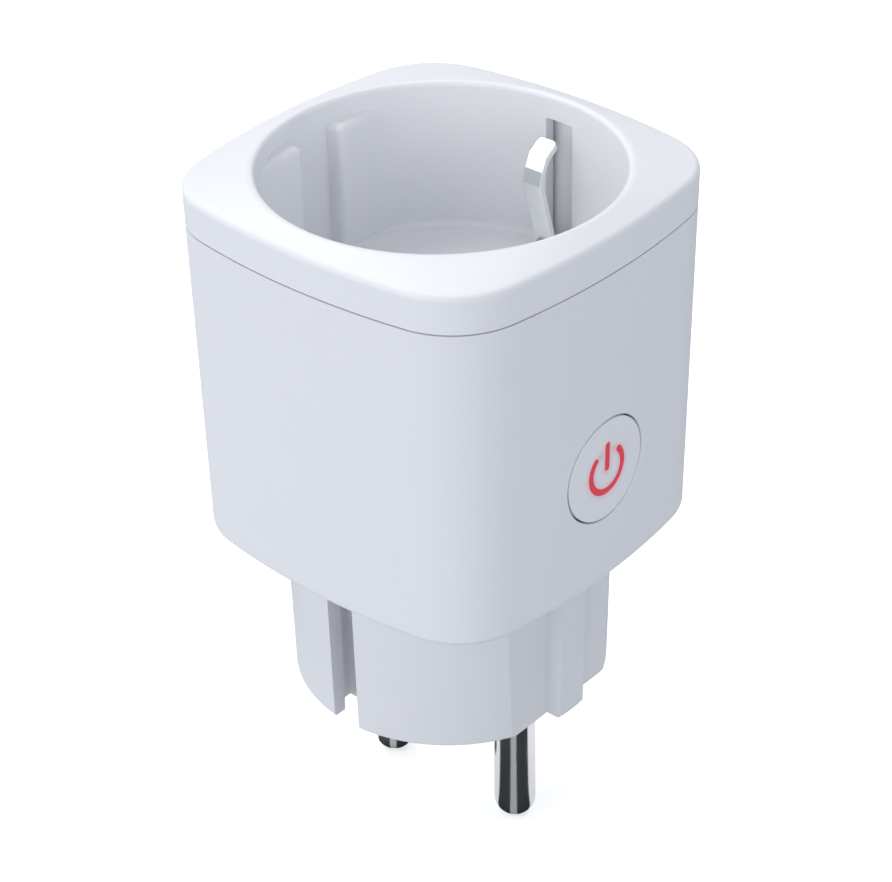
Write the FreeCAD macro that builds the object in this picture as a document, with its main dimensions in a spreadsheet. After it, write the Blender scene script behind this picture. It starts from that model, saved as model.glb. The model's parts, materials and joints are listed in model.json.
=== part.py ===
import FreeCAD, Part
import math
import os
import re
import Sketcher

# A Schuko smart plug: a socket on top, a plug below, and a switching relay, a power supply
# and a radio board between them.  Millimetres, +Z up.  The origin is the centre of the plug's
# engagement face; the pins hang below it.  The button is on the -Y side, the earth clips and
# the earth grooves are on the X axis, and the pins are on the Y axis.

V = FreeCAD.Vector

SIZES = {
    # plug side, to the Schuko standard
    "pin_dia": 4.8, "pin_len": 19.0, "pin_pitch": 19.0, "pin_tip": 2.2, "pin_neck": 2.1,
    "pin_collar": 3.2, "pin_collar_low": 1.2, "pin_collar_top": 4.2, "pin_shank": 2.0,
    "pin_shank_top": 9.0, "pin_tail": 1.2, "pin_tail_low": 10.0, "pin_tail_over": 0.6,
    "plug_face_rad": 17.95, "plug_slope": 0.0178, "plug_depth": 19.8, "plug_face": 2.6,
    "plug_edge_round": 0.4, "flat_reach": 16.0, "flat_end": 10.0, "rib_half": 2.05,
    "groove_lip": 16.14, "groove_back": 13.7, "groove_mouth": 1.82, "groove_half": 3.3,
    "plug_cavity": 16.2, "flange_rad": 19.0, "flange_thick": 1.5, "plug_wall": 1.3,
    "flat_back_half": 7.9, "seat_low": 0.8, "boss_rad": 4.1, "boss_top": 7.5,
    "board_pad_rad": 1.1, "board_pad_at": 12.45, "throat_gap": 0.12,
    # casing outline, at the outer top edge; it narrows downwards by the draft
    "half_width": 22.73, "side_rad": 87.0, "corner_rad": 9.17, "draft": 0.01544,
    "top_edge": 61.93, "rim_height": 62.84, "rim_ring": 20.15, "seam": 57.65, "seam_gap": 0.18,
    "wall": 1.5, "bottom_thick": 1.8, "lip_height": 1.4, "lip_inset": 0.85,
    "top_round": 0.7, "bottom_round": 0.9, "beyond": 30.0,
    # socket well
    "well_rad": 19.4, "well_depth": 17.5, "well_wall": 1.25, "floor_thick": 1.8,
    "roof_thick": 1.6, "rim_round": 0.45, "floor_round": 0.7, "guide_face": 17.1,
    "guide_half": 2.9, "guide_drop": 2.4, "guide_round": 0.8, "guide_blend": 6.0,
    "window_half": 1.85, "window_drop": 2.7, "window_reach": 20.9, "clip_opening": 15.5,
    "pin_hole_rad": 2.95, "pin_hole_lead": 0.6,
    # button
    "button_rad": 6.0, "button_gap": 0.22, "button_height": 34.18, "button_core": 1.5,
    "button_edge": 0.14, "opening_edge": 0.14,
    "collar_rad": 7.2, "collar_front": 20.2, "collar_thick": 0.8,
    "symbol_rad": 2.6, "symbol_stroke": 0.76, "symbol_depth": 0.9, "symbol_gap": 38.0,
    "symbol_end": 0.36, "bar_low": 0.1, "bar_top": 3.4,
    # boards
    "board_under": 24.2, "board_thick": 1.2, "board_inset": 3.5, "board_corner": 7.5,
    "post_at": 15.3, "post_rad": 2.1, "screw_hole": 1.15, "pilot_rad": 0.8, "pilot_deep": 1.2,
    "head_rad": 1.9, "head_tall": 1.2, "screw_shank": 3.6, "slot_long": 1.3, "slot_half": 0.25,
    "slot_deep": 0.6, "tail_hole": 1.25, "foot_slot_half": 1.8,
    "panel_back": 14.4, "panel_thick": 1.2, "panel_half": 13.0, "panel_top": 42.4,
    "switch_half": 3.0, "switch_tall": 2.9, "plunger_rad": 1.7, "plunger_out": 0.85,
    "plunger_in": 0.9, "plunger_room": 1.4, "lamp_half": 0.8, "lamp_thick": 0.7,
    "lamp_tall_half": 0.4, "lamp_at": 4.4, "header_half": 4.6, "header_thick": 1.6,
    "header_tall": 2.5,
    "radio_back": 18.6, "radio_front": 17.8, "radio_half": 8.0, "can_front": 15.5,
    "can_half": 6.3, "can_low": 2.2, "can_top": 38.6, "can_round": 0.4,
    # metal strip parts
    "strap_thick": 0.8, "earth_half": 2.5, "bridge_half": 1.5, "strap_out": 19.5,
    "bridge_top": 43.3, "strap_low": 1.0, "strap_lift": 0.1,
    "clip_half": 1.25, "clip_tip": 0.6, "clip_edge": 0.15, "clip_foot": 0.25,
    # socket contacts
    "contact_bore": 2.45, "contact_wall": 0.65, "contact_low": 28.0, "contact_top": 42.9,
    "slit_half": 0.4, "slit_deep": 10.5, "foot_half": 1.7, "foot_lap": 3.0,
    # relay
    "relay_left": 5.6, "relay_wide": 12.7, "relay_front": -12.8, "relay_long": 25.6,
    "relay_tall": 16.0, "relay_wall": 0.6, "relay_round": 0.5, "relay_play": 0.05,
    "relay_floor": 1.2, "coil_rad": 4.3, "coil_rim": 0.6, "coil_rim_tall": 0.8,
    "coil_tall": 9.4, "core_rad": 2.0, "core_tall": 11.2, "coil_y": -6.4, "pivot_y": 2.0,
    "yoke_half": 3.5, "yoke_half_thick": 0.6, "yoke_play": 0.1, "armature_gap": 0.55,
    "armature_half": 3.2, "armature_thick": 0.8, "armature_front": 3.6, "armature_back": 8.0,
    "rivet_rad": 1.5, "rivet_at": 6.6, "rivet_tall": 0.4, "arm_half": 2.0, "arm_start": 5.2,
    "arm_lift": 1.65, "arm_thick": 0.6, "arm_leg_front": 9.1, "arm_leg_back": 9.9,
    # parts on the main board
    "input_x": -10.2, "input_y": 10.2, "input_rad": 4.0, "input_tall": 14.0,
    "output_y": 15.9, "output_rad": 2.5, "output_tall": 11.0,
    "groove_round": 0.35, "groove_out": 0.1, "groove_lift": 1.8,
    "film_left": -14.6, "film_right": -9.6, "film_front": -8.6, "film_back": 4.4,
    "film_tall": 11.0, "film_round": 0.6, "block_round": 0.3,
    "bridge_left": -17.5, "bridge_right": -14.7, "bridge_front": 8.5, "bridge_back": 13.1,
    "bridge_tall": 2.5,
    "meter_left": -13.0, "meter_right": -3.4, "meter_front": 14.9, "meter_back": 18.4,
    "meter_tall": 1.6,
    "shunt_left": 6.0, "shunt_right": 12.5, "shunt_front": 15.3, "shunt_back": 17.1,
    "shunt_tall": 1.4,
    "choke_x": -5.6, "choke_y": 1.6, "choke_core": 1.6, "choke_tall": 9.0, "choke_rim": 3.0,
    "choke_rim_tall": 1.2, "choke_coil": 2.6, "lead_rad": 0.4,
    "disc_x": -9.5, "disc_y": -13.0, "disc_rad": 4.4, "disc_thick": 3.0, "disc_lift": 5.2,
    "disc_lead_y": -11.5, "disc_lead_apart": 2.5, "disc_lead_tall": 3.0,
    "fuse_x": 1.9, "fuse_lift": 2.0, "fuse_rad": 1.6, "fuse_half": 4.2, "fuse_cap_rad": 1.85,
    "fuse_cap_end": 4.4, "fuse_cap_long": 2.0, "fuse_lead_at": 3.4, "fuse_lead_tall": 1.5,
}

# The clip's bends, from its tip to its foot: distance from the axis and depth below the rim.
CLIP_BENDS = [(17.55, 4.0), (15.55, 5.3), (14.9, 6.7), (14.5, 8.3), (14.75, 9.4), (16.35, 15.0),
              (16.95, 17.6)]

doc = FreeCAD.newDocument("smart_plug")
sheet = doc.addObject("Spreadsheet::Sheet", "sizes")
pieces = {}


def fill_sheet():
    """One row for each driving dimension: its name, then its value."""
    for row, (alias, number) in enumerate(SIZES.items(), 1):
        sheet.set(f"A{row}", alias)
        sheet.set(f"B{row}", str(number))
        sheet.setAlias(f"B{row}", alias)
    doc.recompute()


def formula(text):
    """An expression in which each name of a driving dimension points at the sheet."""
    return re.sub(r"[a-z_]+", lambda word: "sizes." * (word[0] in SIZES) + word[0], str(text))


def value(text):
    """The number that an expression gives now, to place geometry before it is constrained."""
    result = sheet.evalExpression(formula(text))
    return float(getattr(result, "Value", result))


def bind(feature, **properties):
    for name, text in properties.items():
        feature.setExpression(name.replace("__", "."), formula(text))
    return feature


def piece(node, feature, parts=1):
    """Registers a finished sub-part: its Label is the node's name, parts its separate solids."""
    feature.Label = node
    pieces[node] = (feature, parts)
    return feature


# ---------------------------------------------------------------- heights and outlines

WELL_FLOOR = "(rim_height - well_depth)"
FLOOR_UNDER = "(rim_height - well_depth - floor_thick)"
CASE_FLOOR = "(plug_depth + bottom_thick)"
BOARD_TOP = "(board_under + board_thick)"


def drawn_in(height, inset="0"):
    """How far the casing's outline has moved inwards at a height, for a given wall inset."""
    return f"(top_edge - {height}) * draft + {inset}"


# ---------------------------------------------------------------- sketches

class Drawing:
    """A sketch on one of a body's origin planes, with dimensions that follow the sheet."""

    def __init__(self, owner, name, plane="XY_Plane", lift="0"):
        self.sketch = owner.newObject("Sketcher::SketchObject", name)
        origin = next(f for f in owner.Origin.OriginFeatures if f.Role == plane)
        self.sketch.AttachmentSupport = [(origin, "")]
        self.sketch.MapMode = "FlatFace"
        bind(self.sketch, AttachmentOffset__Base__z=lift)

    def tie(self, *constraint):
        return self.sketch.addConstraint(Sketcher.Constraint(*constraint))

    def measure(self, kind, ends, text):
        """A dimension that follows an expression; a negative one is measured the other way."""
        number = value(text)
        if number < 0 and len(ends) == 4:
            ends, text, number = ends[2:] + ends[:2], f"-({text})", -number
        index = self.tie(kind, *ends, number)
        self.sketch.renameConstraint(index, f"size{index}")
        self.sketch.setExpression(f"Constraints.size{index}", formula(text))

    def place(self, point, x, y):
        """Holds a point at x, y from the sketch's origin."""
        for kind, text, axis in (("DistanceX", x, -2), ("DistanceY", y, -1)):
            if value(text) == 0:
                self.tie("PointOnObject", *point, axis)
            else:
                self.measure(kind, (-1, 1) + point, text)

    def circle(self, radius, x="0", y="0"):
        at = V(value(x), value(y), 0)
        index = self.sketch.addGeometry(Part.Circle(at, V(0, 0, 1), value(radius)), False)
        self.measure("Radius", (index,), radius)
        self.place((index, 3), x, y)

    def polygon(self, corners, closed=True):
        points = [V(value(x), value(y), 0) for x, y in corners]
        first = self.sketch.GeometryCount
        ends = points[1:] + points[:1] if closed else points[1:]
        for a, b in zip(points, ends):
            self.sketch.addGeometry(Part.LineSegment(a, b), False)
        last = self.sketch.GeometryCount - 1
        for index in range(first, last):
            self.tie("Coincident", index, 2, index + 1, 1)
        if closed:
            self.tie("Coincident", last, 2, first, 1)
        for index, (x, y) in enumerate(corners):
            point = (first + index, 1) if first + index <= last else (last, 2)
            self.place(point, x, y)

    def rectangle(self, x0, x1, y0, y1):
        self.polygon([(x0, y0), (x1, y0), (x1, y1), (x0, y1)])

    def guide(self, inner="guide_face", side="guide_half", blend="guide_blend"):
        """A guide block's plan: a flat face that runs into the well's wall in a tangent arc."""
        wall, reach = "well_rad", "well_rad + well_wall / 2"
        bend_x = f"sqrt(({wall} - {blend}) ^ 2 - ({inner} - {blend}) ^ 2)"
        edge, face, bend, out = value(side), value(inner), value(blend), value(reach)
        centre = V(value(bend_x), face - bend, 0)
        away = centre * (1 / centre.Length)
        turn = math.atan2(away.y, away.x)
        corner, top = V(edge, face, 0), V(edge, math.sqrt(out ** 2 - edge ** 2), 0)
        touch, beyond = away * value(wall), away * out
        flat, ray, back = [self.sketch.addGeometry(Part.LineSegment(*ends), False) for ends in (
            (corner, V(centre.x, face, 0)), (touch, beyond), (corner, top))]
        small, large = Part.Circle(centre, V(0, 0, 1), bend), Part.Circle(V(), V(0, 0, 1), out)
        arc = self.sketch.addGeometry(Part.ArcOfCircle(small, turn, math.pi / 2), False)
        rim = self.sketch.addGeometry(
            Part.ArcOfCircle(large, turn, math.atan2(top.y, top.x)), False)
        for first, second in (((flat, 1), (back, 1)), ((flat, 2), (arc, 2)), ((arc, 1), (ray, 1)),
                              ((ray, 2), (rim, 1)), ((rim, 2), (back, 2)), ((rim, 3), (-1, 1))):
            self.tie("Coincident", *first, *second)
        self.tie("PointOnObject", -1, 1, ray)
        self.tie("PointOnObject", arc, 3, ray)
        self.tie("Vertical", flat, 2, arc, 3)
        self.tie("Vertical", back)
        self.measure("Radius", (arc,), blend)
        self.measure("Radius", (rim,), reach)
        self.place((flat, 1), side, inner)
        self.measure("DistanceX", (-1, 1, arc, 3), bend_x)
        self.measure("DistanceY", (-1, 1, arc, 3), f"{inner} - {blend}")

    def bowed_square(self, half, side, corner):
        """A square with bowed sides and round corners: eight tangent arcs."""
        w, big, small = value(half), value(side), value(corner)
        set_back = big - w
        centre = (math.sqrt(2 * (big - small) ** 2 - set_back ** 2) - set_back) / 2
        spread = math.atan2(centre, centre + set_back)
        first = self.sketch.GeometryCount
        for quarter in range(4):
            turn = quarter * math.pi / 2
            spin = FreeCAD.Rotation(V(0, 0, 1), 90 * quarter)
            bow = Part.Circle(spin.multVec(V(-set_back, 0, 0)), V(0, 0, 1), big)
            bend = Part.Circle(spin.multVec(V(centre, centre, 0)), V(0, 0, 1), small)
            self.sketch.addGeometry(Part.ArcOfCircle(bow, turn - spread, turn + spread), False)
            ends = (turn + spread, turn + math.pi / 2 - spread)
            self.sketch.addGeometry(Part.ArcOfCircle(bend, *ends), False)
        for index in range(8):
            self.tie("Tangent", first + index, 2, first + (index + 1) % 8, 1)
        for quarter in range(4):
            bow = first + 2 * quarter
            kind = ("DistanceX", "DistanceY")[quarter % 2]
            ends = (bow, 3, -1, 1) if quarter < 2 else (-1, 1, bow, 3)
            self.tie("PointOnObject", bow, 3, -1 - quarter % 2)
            self.measure(kind, ends, f"{side} - ({half})")
            if quarter:
                self.tie("Equal", first, bow)
                self.tie("Equal", first + 1, bow + 1)
        self.measure("Radius", (first,), side)
        self.measure("Radius", (first + 1,), corner)

    def outline(self, height, inset="0"):
        """The casing's outline at a height, moved inwards by inset."""
        moved = drawn_in(height, inset)
        self.bowed_square(f"half_width - ({moved})", f"side_rad - ({moved})",
                          f"corner_rad - ({moved})")


# ---------------------------------------------------------------- features

def body(name):
    return doc.addObject("PartDesign::Body", name)


def volume(owner):
    doc.recompute()
    return owner.Shape.Volume if owner.Tip else 0.0


def pad(owner, drawing, length, down=False, taper=None):
    before = volume(owner)
    feature = owner.newObject("PartDesign::Pad", drawing.sketch.Name + "_pad")
    feature.Profile = drawing.sketch
    feature.Reversed = down
    bind(feature, Length=length)
    if taper:
        bind(feature, TaperAngle=taper)
    if volume(owner) <= before:
        raise ValueError(f"{feature.Name} adds nothing")
    return feature


def pocket(owner, drawing, length, up=False, taper=None):
    before = volume(owner)
    feature = owner.newObject("PartDesign::Pocket", drawing.sketch.Name + "_pocket")
    feature.Profile = drawing.sketch
    feature.Reversed = up
    bind(feature, Length=length)
    if taper:
        bind(feature, TaperAngle=taper)
    if volume(owner) >= before:
        raise ValueError(f"{feature.Name} cuts nothing")
    return feature


def revolve(owner, drawing):
    feature = owner.newObject("PartDesign::Revolution", drawing.sketch.Name + "_turned")
    feature.Profile = drawing.sketch
    feature.ReferenceAxis = (drawing.sketch, ["V_Axis"])
    feature.Angle = 360
    doc.recompute()
    return feature


def edge_names(shape, wanted):
    return [f"Edge{n}" for n, edge in enumerate(shape.Edges, 1) if wanted(edge)]


def at_height(height, least=0.0, most=math.inf):
    """Picks the edges that lie level at a height and between two distances from the axis."""
    level = value(height)

    def wanted(edge):
        box = edge.BoundBox
        middle = edge.valueAt((edge.FirstParameter + edge.LastParameter) / 2)
        out = math.hypot(middle.x, middle.y)
        return abs(box.ZMin - level) < 0.01 and abs(box.ZMax - level) < 0.01 and least < out < most
    return wanted


def round_over(owner, name, radius, wanted):
    base = owner.Tip
    feature = owner.newObject("PartDesign::Fillet", name)
    feature.Base = (base, edge_names(base.Shape, wanted))
    bind(feature, Radius=radius)
    doc.recompute()
    return feature


def box(name, x, y, z):
    """A box from its lowest and highest x, y and z."""
    made = doc.addObject("Part::Box", name)
    for side, place, (low, high) in zip(("Length", "Width", "Height"), "xyz", (x, y, z)):
        bind(made, **{side: f"{high} - ({low})", f"Placement__Base__{place}": low})
    return made


def rod(name, radius, start, length, along="z"):
    """A cylinder from its start point, along one of the axes."""
    made = doc.addObject("Part::Cylinder", name)
    turn = {"x": V(0, 1, 0), "y": V(-1, 0, 0), "z": V(0, 0, 1)}[along]
    made.Placement.Rotation = FreeCAD.Rotation(turn, 0 if along == "z" else 90)
    bind(made, Radius=radius, Height=length)
    bind(made, **{f"Placement__Base__{axis}": at for axis, at in zip("xyz", start)})
    return made


def combine(kind, name, shapes):
    made = doc.addObject(f"Part::Multi{kind}", name)
    made.Shapes = shapes
    doc.recompute()
    return made


def fuse(name, *shapes):
    return combine("Fuse", name, list(shapes))


def common(name, *shapes):
    return combine("Common", name, list(shapes))


def cut(name, base, *tools):
    made = doc.addObject("Part::Cut", name)
    made.Base = base
    made.Tool = tools[0] if len(tools) == 1 else fuse(name + "_tools", *tools)
    doc.recompute()
    return made


def soften(name, base, radius, wanted):
    """Rounds the chosen edges of a finished shape."""
    doc.recompute()
    made = doc.addObject("Part::Fillet", name)
    made.Base = base
    size = value(radius)
    made.Edges = [(int(edge[4:]), size, size) for edge in edge_names(base.Shape, wanted)]
    doc.recompute()
    return made


def upright(edge):
    box_of = edge.BoundBox
    return box_of.XLength < 0.01 and box_of.YLength < 0.01


def bent_strip(name, corners, half, y="0"):
    """Sheet metal: a path in the XZ plane, thickened to its left and drawn out along Y."""
    owner = body(name + "_path")
    path = Drawing(owner, name + "_line", "XZ_Plane")
    path.polygon(corners, closed=False)
    doc.recompute()
    profile = doc.addObject("Part::Offset2D", name + "_profile")
    profile.Source = path.sketch
    profile.Mode = "Skin"
    profile.Join = "Arc"
    profile.Fill = True
    bind(profile, Value="strap_thick")
    strip = doc.addObject("Part::Extrusion", name + "_strip")
    strip.Base = profile
    strip.DirMode = "Custom"
    strip.Dir = V(0, 1, 0)
    strip.Solid = True
    strip.Symmetric = True
    bind(strip, LengthFwd=f"2 * {half}", Placement__Base__y=y)
    doc.recompute()
    return strip


def mirrored(name, source, normal=V(1, 0, 0)):
    """The twin of a shape on the other side of a plane through the origin."""
    made = doc.addObject("Part::Mirroring", name)
    made.Source = source
    made.Normal = normal
    doc.recompute()
    return made


# ---------------------------------------------------------------- casing

def socket_cover():
    """The top cap in one moulding with the socket well, its guides and its floor."""
    cap = body("cover_body")
    skirt = Drawing(cap, "skirt", lift="top_edge")
    skirt.outline("top_edge")
    pad(cap, skirt, "top_edge - seam - seam_gap", down=True, taper="-atan(draft)")
    edge = Drawing(cap, "crown_edge", lift="top_edge")
    edge.outline("top_edge")
    ring = Drawing(cap, "crown_ring", lift="rim_height")
    ring.bowed_square("rim_ring", "rim_ring * 1.02", "rim_ring * 0.98")
    crown = cap.newObject("PartDesign::AdditiveLoft", "crown")
    crown.Profile = edge.sketch
    crown.Sections = [ring.sketch]
    crown.Ruled = True
    doc.recompute()
    round_over(cap, "top_edge_round", "top_round", at_height("top_edge"))
    hollow = Drawing(cap, "hollow", lift="seam + seam_gap")
    hollow.outline("seam", "wall")
    pocket(cap, hollow, "top_edge - roof_thick - seam - seam_gap", up=True)
    rebate = Drawing(cap, "rebate", lift="seam + seam_gap")
    rebate.outline("seam", "lip_inset - 0.05")
    pocket(cap, rebate, "lip_height - seam_gap", up=True)
    cup = Drawing(cap, "cup", lift="top_edge")
    cup.circle("well_rad + well_wall")
    pad(cap, cup, f"top_edge - {FLOOR_UNDER}", down=True)
    well = Drawing(cap, "well", lift="rim_height")
    well.circle("well_rad")
    pocket(cap, well, "well_depth")
    well_edge = (value("well_rad") - 0.4, value("well_rad") + 0.2)
    round_over(cap, "rim_rounding", "rim_round", at_height("rim_height", *well_edge))
    round_over(cap, "floor_rounding", "floor_round", at_height(WELL_FLOOR, *well_edge))
    openings = Drawing(cap, "clip_openings", lift=FLOOR_UNDER)
    for low, high in (("clip_opening", "window_reach"), ("-window_reach", "-clip_opening")):
        openings.rectangle(low, high, "-window_half", "window_half")
    pocket(cap, openings, f"rim_height - window_drop - {FLOOR_UNDER}", up=True)
    holes = Drawing(cap, "pin_holes", lift=WELL_FLOOR)
    for side in (1, -1):
        holes.circle("pin_hole_rad", "0", f"{side} * pin_pitch / 2")
    pocket(cap, holes, "floor_thick")
    drilled = cap.Tip
    lead_in = cap.newObject("PartDesign::Chamfer", "pin_hole_lead_in")
    lead_in.Base = (drilled, edge_names(drilled.Shape, pin_hole_mouth))
    bind(lead_in, Size="pin_hole_lead")
    doc.recompute()
    piece("socket_cover", fuse("cover_with_guides", cap, *guide_blocks()))


def guide_blocks():
    """The four guide blocks that stand in the well either side of the Y axis."""
    block = body("guide_block")
    plan = Drawing(block, "guide_plan", lift=f"{WELL_FLOOR} - floor_thick / 2")
    plan.guide()
    pad(block, plan, "well_depth - guide_drop + floor_thick / 2")
    round_over(block, "guide_rounding", "guide_round", guide_edge)
    twin = mirrored("guide_twin", block)
    return [block, twin] + [mirrored(f"guide_far_{n}", one, V(0, 1, 0))
                            for n, one in enumerate((block, twin))]


def guide_edge(edge):
    """A guide's upright inner edge, and the edges round its top on the open side."""
    mid = edge.valueAt((edge.FirstParameter + edge.LastParameter) / 2)
    if upright(edge):
        return math.hypot(mid.x - value("guide_half"), mid.y - value("guide_face")) < 0.01
    level = abs(mid.z - value("rim_height - guide_drop")) < 0.01 and edge.BoundBox.ZLength < 0.01
    return level and math.hypot(mid.x, mid.y) < value("well_rad + well_wall / 2") - 0.01


def pin_hole_mouth(edge):
    """A level circle of the pin holes' radius at the well's floor."""
    box_of = edge.BoundBox
    level = abs(box_of.ZMin - value(WELL_FLOOR)) < 0.01 and box_of.ZLength < 0.01
    return level and abs(box_of.XLength - 2 * value("pin_hole_rad")) < 0.05


def housing():
    """The sleeve: four bowed walls, a bottom open round the plug, and the button's hole."""
    case = body("housing_body")
    shell = Drawing(case, "shell", lift="seam")
    shell.outline("seam")
    pad(case, shell, "seam - plug_depth", down=True, taper="-atan(draft)")
    round_over(case, "bottom_edge_round", "bottom_round", at_height("plug_depth"))
    lip = Drawing(case, "lip", lift="seam")
    lip.outline("seam", "lip_inset")
    pad(case, lip, "lip_height")
    cavity = Drawing(case, "cavity", lift="seam + lip_height")
    cavity.outline("seam", "wall")
    pocket(case, cavity, f"seam + lip_height - {CASE_FLOOR}", taper="-atan(draft)")
    throat = Drawing(case, "throat", lift=CASE_FLOOR)
    throat.circle("plug_face_rad + plug_slope * plug_depth + throat_gap")
    pocket(case, throat, "bottom_thick")
    posts = Drawing(case, "posts", lift=CASE_FLOOR)
    pilots = Drawing(case, "pilots", lift="board_under")
    for sx in (1, -1):
        for sy in (1, -1):
            posts.circle("post_rad", f"{sx} * post_at", f"{sy} * post_at")
            pilots.circle("pilot_rad", f"{sx} * post_at", f"{sy} * post_at")
    pad(case, posts, f"board_under - {CASE_FLOOR}")
    pocket(case, pilots, f"board_under - {CASE_FLOOR} + pilot_deep")
    opening = Drawing(case, "button_opening", "XZ_Plane", lift="collar_front - 2")
    opening.circle("button_rad + button_gap", "0", "button_height")
    pocket(case, opening, "5", up=True)
    mouth = value("half_width - 1.2")

    def opening_rim(edge):
        """The opening's outer edge, in the casing's face."""
        box_of = edge.BoundBox
        across = abs(box_of.XLength - 2 * value("button_rad + button_gap")) < 0.1
        return across and box_of.YMax < -mouth
    round_over(case, "opening_rounding", "opening_edge", opening_rim)
    piece("housing", case)


def plug_base(pins):
    """The round plug: flats and guide ribs on Y, earth grooves on X, moulded round the pins."""
    base = body("plug_body")
    barrel = Drawing(base, "barrel")
    barrel.circle("plug_face_rad")
    pad(base, barrel, CASE_FLOOR, taper="atan(plug_slope)")
    round_over(base, "face_edge_rounding", "plug_edge_round", at_height("0"))
    flange = Drawing(base, "flange", lift=CASE_FLOOR)
    flange.circle("flange_rad")
    pad(base, flange, "flange_thick")
    cavity = Drawing(base, "plug_cavity_circle", lift="plug_face")
    cavity.circle("plug_cavity")
    pocket(base, cavity, f"{CASE_FLOOR} + flange_thick - plug_face", up=True)
    top = f"{CASE_FLOOR} + flange_thick"
    backing = Drawing(base, "backing", lift="plug_face / 2")
    for sign in (1, -1):
        xs = (f"{sign} * (groove_back - 2)", f"{sign} * (plug_cavity + 0.3)")
        ys = (f"{sign} * (flat_reach - 1.5)", f"{sign} * (flat_reach + 0.2)")
        backing.rectangle(*sorted(xs, key=value), "-groove_half - plug_wall",
                          "groove_half + plug_wall")
        backing.rectangle("-flat_back_half", "flat_back_half", *sorted(ys, key=value))
    pad(base, backing, f"{top} - plug_face / 2")
    flats = Drawing(base, "flats")
    lips = Drawing(base, "groove_lips")
    backs = Drawing(base, "groove_backs")
    for sign in (1, -1):
        for side in (1, -1):
            xs = sorted((f"{side} * rib_half", f"{side} * flat_end"), key=value)
            ys = sorted((f"{sign} * flat_reach", f"{sign} * beyond"), key=value)
            flats.rectangle(*xs, *ys)
        xs = sorted((f"{sign} * (groove_lip - 0.1)", f"{sign} * beyond"), key=value)
        lips.rectangle(*xs, "-groove_mouth", "groove_mouth")
        xs = sorted((f"{sign} * groove_back", f"{sign} * groove_lip"), key=value)
        backs.rectangle(*xs, "-groove_half", "groove_half")
    for drawing in (flats, lips, backs):
        pocket(base, drawing, "plug_depth", up=True)
    seats = Drawing(base, "strip_seats", lift="seat_low")
    for sign in (1, -1):
        xs = sorted((f"{sign} * groove_back", f"{sign} * (groove_back - strap_thick)"), key=value)
        seats.rectangle(*xs, "-earth_half", "earth_half")
    pocket(base, seats, top, up=True)
    bosses = Drawing(base, "bosses", lift="plug_face / 2")
    pads = Drawing(base, "board_pads", lift=top)
    for sign in (1, -1):
        bosses.circle("boss_rad", "0", f"{sign} * pin_pitch / 2")
        for side in (1, -1):
            pads.circle("board_pad_rad", f"{side} * board_pad_at", f"{sign} * board_pad_at")
    pad(base, bosses, "boss_top - plug_face / 2")
    pad(base, pads, f"board_under - ({top})")
    piece("plug_base", cut("plug_moulding", base, *pins))


# ---------------------------------------------------------------- mains path

def plug_pin(node, side):
    """A turned pin: round nose, shank, moulded-in collar and a thin tail up to the board."""
    pin = body(node + "_body")
    half = Drawing(pin, node + "_profile", "XZ_Plane")
    half.polygon([("0", "-pin_len"), ("pin_dia / 2", "-pin_len"), ("pin_dia / 2", "0"),
                  ("pin_neck", "0"), ("pin_neck", "pin_collar_low"),
                  ("pin_collar", "pin_collar_low"), ("pin_collar", "pin_collar_top"),
                  ("pin_shank", "pin_collar_top"), ("pin_shank", "pin_shank_top"),
                  ("pin_tail", "pin_tail_low"), ("pin_tail", f"{BOARD_TOP} + pin_tail_over"),
                  ("0", f"{BOARD_TOP} + pin_tail_over")])
    revolve(pin, half)
    round_over(pin, node + "_nose", "pin_tip", at_height("-pin_len", 2.0, 2.6))
    bind(pin, Placement__Base__y=f"{side} * pin_pitch / 2")
    doc.recompute()
    return piece(node, pin)


def socket_contact(node, side):
    """A slit tube that grips the plug's pin, with a foot beside the bore into the board."""
    tube = body(node + "_body")
    ring = Drawing(tube, node + "_ring", lift="contact_low")
    ring.circle("contact_bore")
    ring.circle("contact_bore + contact_wall")
    pad(tube, ring, "contact_top - contact_low")
    slit = Drawing(tube, node + "_slit", lift="contact_top")
    slit.rectangle("-contact_bore - 1", "contact_bore + 1", "-slit_half", "slit_half")
    pocket(tube, slit, "slit_deep")
    foot = Drawing(tube, node + "_foot", lift="board_under")
    foot.rectangle("contact_bore + 0.1", "contact_bore + contact_wall + 0.1", "-foot_half",
                   "foot_half")
    pad(tube, foot, "contact_low + foot_lap - board_under")
    bind(tube, Placement__Base__y=f"{side} * pin_pitch / 2")
    doc.recompute()
    piece(node, tube)


# ---------------------------------------------------------------- earth path

def earth_parts():
    """On each side a strip runs from the plug's groove, round the board and up to the bridge."""
    gap_level = f"({CASE_FLOOR} + flange_thick + strap_lift)"
    strip = bent_strip("earth_right", [
        ("groove_back", "strap_low"), ("groove_back", gap_level), ("strap_out + strap_thick", gap_level),
        ("strap_out + strap_thick", "bridge_top - strap_thick")], "earth_half")
    piece("earth_strip_right", strip)
    piece("earth_strip_left", mirrored("earth_left", strip))
    reach = "strap_out + strap_thick"
    bridge = box("earth_bridge_bar", (f"-({reach})", reach), ("-bridge_half", "bridge_half"),
                 ("bridge_top - strap_thick", "bridge_top"))
    piece("earth_bridge", bridge)


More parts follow.
